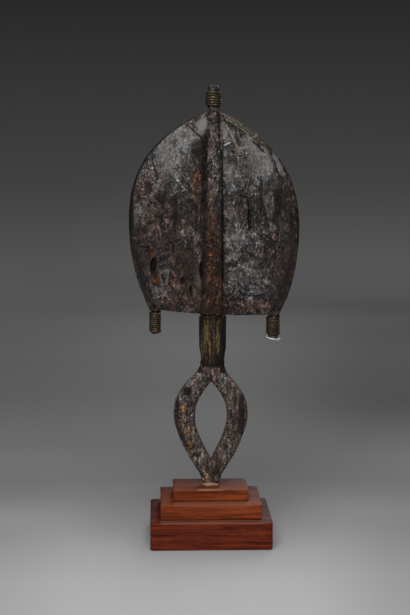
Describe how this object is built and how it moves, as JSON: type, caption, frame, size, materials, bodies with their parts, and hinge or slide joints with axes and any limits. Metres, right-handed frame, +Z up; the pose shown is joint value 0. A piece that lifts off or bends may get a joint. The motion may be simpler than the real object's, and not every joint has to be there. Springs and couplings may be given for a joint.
{
  "type": "kota reliquary figure",
  "caption": "Carved wooden guardian figure with a leaf-shaped head, brass sheet and wire trim, and an open lozenge base, on a stepped wooden plinth.",
  "frame": {"origin": "middle of the plinth's underside", "axes": "+Z up; the carved back looks towards -Y and the metal face towards +Y; +X is to the right seen from the back"},
  "size_m": [0.1754, 0.105, 0.4645],
  "materials": {
    "crusted_wood": "crusted, dry",
    "brass_wire": "dull, tarnished",
    "neck_brass": "dull, streaked",
    "trim_brass": "dull, worn edges",
    "face_brass": "satin, aged",
    "copper_wire": "dull",
    "bright_wire": "bright",
    "putty": "crumbly, matte",
    "plinth_dark": "stained, satin",
    "plinth_red": "stained, satin"
  },
  "bodies": {
    "root": {"figure_wood": "crusted_wood", "topknot_wire": "brass_wire", "left_peg_wire": "brass_wire", "right_peg_wire": "brass_wire", "right_peg_loose_turn": "bright_wire", "neck_sheath": "neck_brass", "rim_binding": "trim_brass", "back_strip": "trim_brass", "back_staple": "trim_brass", "back_wire": "copper_wire", "back_pin": "bright_wire", "face_band": "face_brass", "face_strips_left": "face_brass", "face_strips_right": "face_brass", "left_eye": "face_brass", "right_eye": "face_brass", "nose_blade": "face_brass", "foot_putty": "putty", "plinth_lower": "plinth_dark", "plinth_middle": "plinth_red", "plinth_upper": "plinth_red"}
  },
  "joints": []
}
